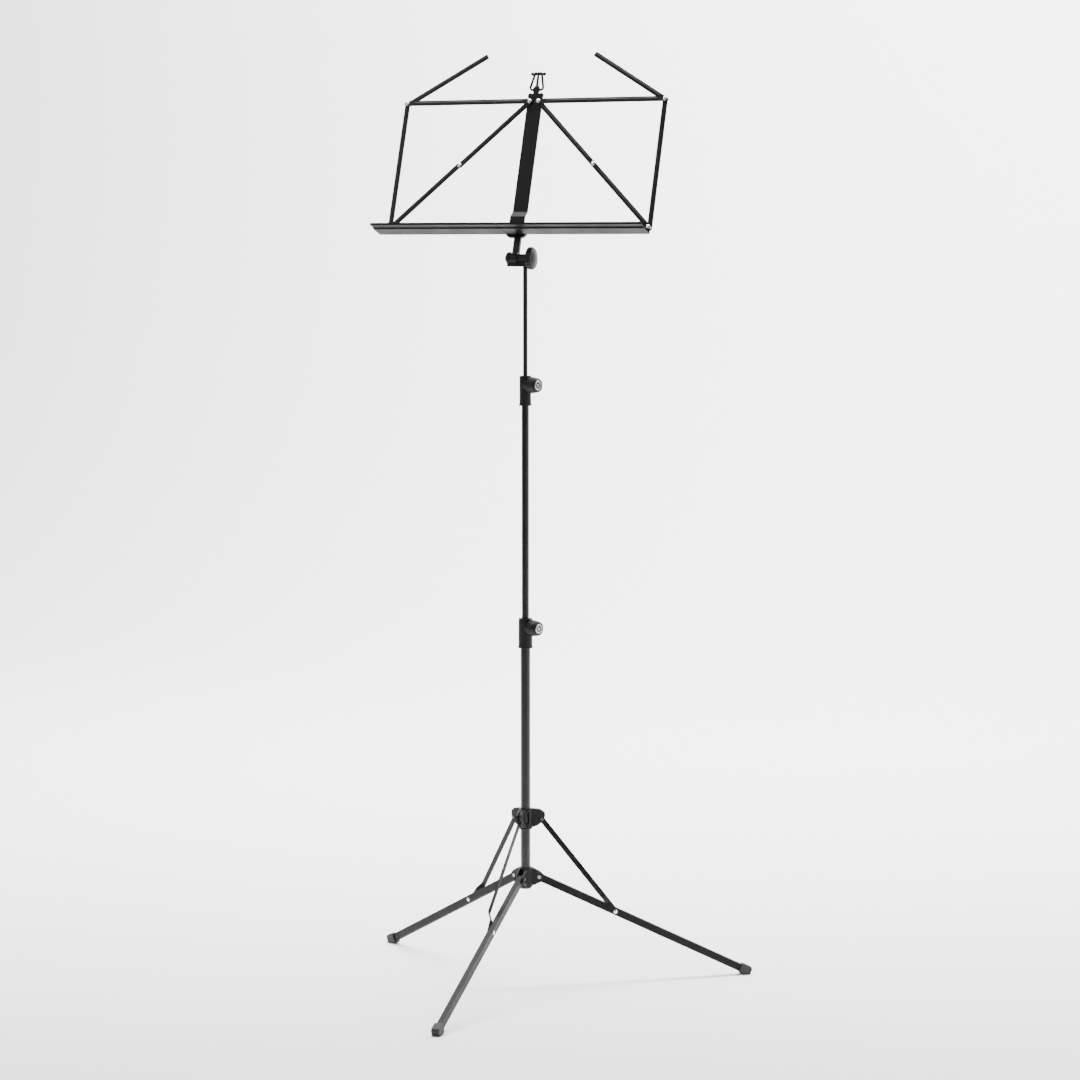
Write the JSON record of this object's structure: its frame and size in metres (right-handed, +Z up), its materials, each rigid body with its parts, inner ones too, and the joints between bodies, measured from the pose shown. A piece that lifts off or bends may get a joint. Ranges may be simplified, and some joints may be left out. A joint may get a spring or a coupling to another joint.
{
  "type": "folding music stand",
  "caption": "Folding orchestra music stand with a telescoping mast, clamp knobs, a folding tripod and a tilting desk whose flat bars, ledge and page arms fold up like a fan.",
  "frame": {"origin": "on the floor, on the mast's axis", "axes": "+Z up along the mast; the musician stands on the -Y side and looks along +Y at the desk; +X is to the musician's right"},
  "size_m": [0.7026, 0.6145, 1.6075],
  "materials": {
    "mast_paint": "glossy black enamel on steel",
    "leg_paint": "satin black powder coat on steel",
    "bar_paint": "satin black powder coat on steel strip",
    "plate_paint": "satin black powder coat",
    "ledge_paint": "semi-gloss black enamel on folded sheet",
    "head_metal": "black paint on a cast and pressed fitting",
    "black_plastic": "finely textured black moulding",
    "bush_plastic": "smooth dark grey moulding",
    "pad_plastic": "smooth off-white moulding",
    "knob_cap": "bright turned metal",
    "screw_steel": "zinc-plated steel",
    "brass_insert": "plain brass",
    "hub_pin": "dull brass-plated rivet",
    "dark_rivet": "blackened steel",
    "bright_rivet": "bright nickel-plated steel",
    "foot_rubber": "matte black rubber"
  },
  "bodies": {
    "base": {"bottom_tube": "mast_paint", "leg_hub": "black_plastic", "hub_pins": "hub_pin", "lower_clamp": "black_plastic", "lower_clamp_insert": "brass_insert", "lower_clamp_pad": "pad_plastic"},
    "collar": {"strut_collar": "black_plastic", "collar_pins": "dark_rivet"},
    "mid_mast": {"middle_tube": "mast_paint", "middle_tube_bush": "bush_plastic", "upper_clamp": "black_plastic", "upper_clamp_insert": "brass_insert", "upper_clamp_pad": "pad_plastic"},
    "top_mast": {"top_rod": "mast_paint", "rod_bush": "bush_plastic", "tilt_head": "head_metal", "tilt_bolt": "screw_steel"},
    "tilt_knob": {"tilt_knob": "black_plastic"},
    "lower_knob": {"lower_knob": "black_plastic", "lower_knob_cap": "knob_cap", "lower_knob_screw": "screw_steel"},
    "upper_knob": {"upper_knob": "black_plastic", "upper_knob_cap": "knob_cap", "upper_knob_screw": "screw_steel"},
    "desk": {"desk_bracket": "head_metal", "centre_plate": "plate_paint", "plate_rivets": "bright_rivet", "ledge_rivets": "dark_rivet"},
    "leg_front": {"leg_front": "leg_paint", "foot_front": "foot_rubber", "leg_rivet_front": "bright_rivet"},
    "strut_front": {"strut_front": "leg_paint"},
    "leg_right": {"leg_right": "leg_paint", "foot_right": "foot_rubber", "leg_rivet_right": "bright_rivet"},
    "strut_right": {"strut_right": "leg_paint"},
    "leg_left": {"leg_left": "leg_paint", "foot_left": "foot_rubber", "leg_rivet_left": "bright_rivet"},
    "strut_left": {"strut_left": "leg_paint"},
    "top_bar_left": {"top_bar_left": "bar_paint", "top_corner_rivet_left": "bright_rivet"},
    "side_bar_left": {"side_bar_left": "bar_paint"},
    "page_arm_left": {"page_arm_left": "bar_paint"},
    "upper_diagonal_left": {"upper_diagonal_left": "bar_paint"},
    "lower_diagonal_left": {"lower_diagonal_left": "bar_paint", "middle_rivet_left": "bright_rivet"},
    "ledge_left": {"ledge_left": "ledge_paint", "bottom_corner_rivet_left": "bright_rivet"},
    "top_bar_right": {"top_bar_right": "bar_paint", "top_corner_rivet_right": "bright_rivet"},
    "side_bar_right": {"side_bar_right": "bar_paint"},
    "page_arm_right": {"page_arm_right": "bar_paint"},
    "upper_diagonal_right": {"upper_diagonal_right": "bar_paint"},
    "lower_diagonal_right": {"lower_diagonal_right": "bar_paint", "middle_rivet_right": "bright_rivet"},
    "ledge_right": {"ledge_right": "ledge_paint", "bottom_corner_rivet_right": "bright_rivet"}
  },
  "joints": [
    {"name": "leg_front_fold", "type": "hinge", "parent": "base", "child": "leg_front", "pos_m": [0.0004, -0.0228, 0.186], "axis": [-0.9998, -0.0175, 0], "range_deg": [0, 112]},
    {"name": "leg_right_fold", "type": "hinge", "parent": "base", "child": "leg_right", "pos_m": [0.01954, 0.01174, 0.186], "axis": [0.515, -0.8572, 0], "range_deg": [0, 112]},
    {"name": "leg_left_fold", "type": "hinge", "parent": "base", "child": "leg_left", "pos_m": [-0.01994, 0.01105, 0.186], "axis": [0.4848, 0.8746, 0], "range_deg": [0, 112]},
    {"name": "collar_slide", "type": "slide", "parent": "base", "child": "collar", "axis": [0, 0, 1], "range_m": [0, 0.2602]},
    {"name": "strut_front_fold", "type": "hinge", "parent": "collar", "child": "strut_front", "pos_m": [0.00049, -0.028, 0.287], "axis": [-0.9998, -0.0175, 0], "range_deg": [-36.72, 0]},
    {"name": "strut_right_fold", "type": "hinge", "parent": "collar", "child": "strut_right", "pos_m": [0.024, 0.01442, 0.287], "axis": [0.515, -0.8572, 0], "range_deg": [-36.72, 0]},
    {"name": "strut_left_fold", "type": "hinge", "parent": "collar", "child": "strut_left", "pos_m": [-0.02449, 0.01358, 0.287], "axis": [0.4848, 0.8746, 0], "range_deg": [-36.72, 0]},
    {"name": "mid_slide", "type": "slide", "parent": "base", "child": "mid_mast", "axis": [0, 0, 1], "range_m": [-0.364, 0.015]},
    {"name": "rod_slide", "type": "slide", "parent": "mid_mast", "child": "top_mast", "axis": [0, 0, 1], "range_m": [-0.176, 0.186]},
    {"name": "desk_tilt", "type": "hinge", "parent": "top_mast", "child": "desk", "pos_m": [-0.0201, 0, 1.253], "axis": [-1, 0, 0], "range_deg": [-19, 65]},
    {"name": "lower_knob_turn", "type": "hinge", "parent": "base", "child": "lower_knob", "pos_m": [0.02719, -0.01268, 0.6215], "axis": [0.9063, -0.4226, 0], "range_deg": [0, 450]},
    {"name": "upper_knob_turn", "type": "hinge", "parent": "mid_mast", "child": "upper_knob", "pos_m": [0.02719, -0.01268, 1.038], "axis": [0.9063, -0.4226, 0], "range_deg": [0, 450]},
    {"name": "tilt_knob_turn", "type": "hinge", "parent": "top_mast", "child": "tilt_knob", "pos_m": [0.01, 0, 1.253], "axis": [1, 0, 0], "range_deg": [0, 450]},
    {"name": "fold_right", "type": "hinge", "parent": "desk", "child": "top_bar_right", "pos_m": [-0.0158, 0.0975, 1.52295], "axis": [0, -0.9444, 0.3289], "range_deg": [0, 84]},
    {"name": "side_bar_right_turn", "type": "hinge", "parent": "top_bar_right", "child": "side_bar_right", "pos_m": [0.216, 0.09986, 1.52213], "axis": [0, -0.9444, 0.3289], "range_deg": [-84.1, 0.1]},
    {"name": "ledge_right_turn", "type": "hinge", "parent": "desk", "child": "ledge_right", "pos_m": [-0.0158, 0.01636, 1.30575], "axis": [0, -0.9444, 0.3289], "range_deg": [-0.1, 84.1]},
    {"name": "upper_diagonal_right_turn", "type": "hinge", "parent": "desk", "child": "upper_diagonal_right", "pos_m": [-0.0158, 0.09986, 1.52213], "axis": [0, -0.9444, 0.3289], "range_deg": [-43.85, 0.1]},
    {"name": "lower_diagonal_right_turn", "type": "hinge", "parent": "ledge_right", "child": "lower_diagonal_right", "pos_m": [0.216, 0.02127, 1.30404], "axis": [0, -0.9444, 0.3289], "range_deg": [-0.1, 43.85]},
    {"name": "page_arm_right_turn", "type": "hinge", "parent": "top_bar_right", "child": "page_arm_right", "pos_m": [0.216, 0.10279, 1.52111], "axis": [0, 0.9444, -0.3289], "range_deg": [-31.5, 148.5]},
    {"name": "fold_left", "type": "hinge", "parent": "desk", "child": "top_bar_left", "pos_m": [-0.0322, 0.0975, 1.52295], "axis": [0, 0.9444, -0.3289], "range_deg": [0, 84]},
    {"name": "side_bar_left_turn", "type": "hinge", "parent": "top_bar_left", "child": "side_bar_left", "pos_m": [-0.264, 0.09986, 1.52213], "axis": [0, 0.9444, -0.3289], "range_deg": [-84.1, 0.1]},
    {"name": "ledge_left_turn", "type": "hinge", "parent": "desk", "child": "ledge_left", "pos_m": [-0.0322, 0.01636, 1.30575], "axis": [0, 0.9444, -0.3289], "range_deg": [-0.1, 84.1]},
    {"name": "upper_diagonal_left_turn", "type": "hinge", "parent": "desk", "child": "upper_diagonal_left", "pos_m": [-0.0322, 0.09986, 1.52213], "axis": [0, 0.9444, -0.3289], "range_deg": [-43.85, 0.1]},
    {"name": "lower_diagonal_left_turn", "type": "hinge", "parent": "ledge_left", "child": "lower_diagonal_left", "pos_m": [-0.264, 0.02127, 1.30404], "axis": [0, 0.9444, -0.3289], "range_deg": [-0.1, 43.85]},
    {"name": "page_arm_left_turn", "type": "hinge", "parent": "top_bar_left", "child": "page_arm_left", "pos_m": [-0.264, 0.10279, 1.52111], "axis": [0, -0.9444, 0.3289], "range_deg": [-31.5, 148.5]}
  ],
  "couplings": [
    {"joint": "leg_right_fold", "follows": "leg_front_fold", "ratio": 1},
    {"joint": "leg_left_fold", "follows": "leg_front_fold", "ratio": 1},
    {"joint": "collar_slide", "follows": "leg_front_fold", "m_per_rad": 0.13283},
    {"joint": "strut_front_fold", "follows": "leg_front_fold", "ratio": -0.32692},
    {"joint": "strut_right_fold", "follows": "leg_front_fold", "ratio": -0.32692},
    {"joint": "strut_left_fold", "follows": "leg_front_fold", "ratio": -0.32692},
    {"joint": "side_bar_right_turn", "follows": "fold_right", "ratio": -1},
    {"joint": "ledge_right_turn", "follows": "fold_right", "ratio": 1},
    {"joint": "upper_diagonal_right_turn", "follows": "fold_right", "ratio": -0.5209},
    {"joint": "lower_diagonal_right_turn", "follows": "fold_right", "ratio": 0.5209},
    {"joint": "side_bar_left_turn", "follows": "fold_left", "ratio": -1},
    {"joint": "ledge_left_turn", "follows": "fold_left", "ratio": 1},
    {"joint": "upper_diagonal_left_turn", "follows": "fold_left", "ratio": -0.5209},
    {"joint": "lower_diagonal_left_turn", "follows": "fold_left", "ratio": 0.5209}
  ]
}
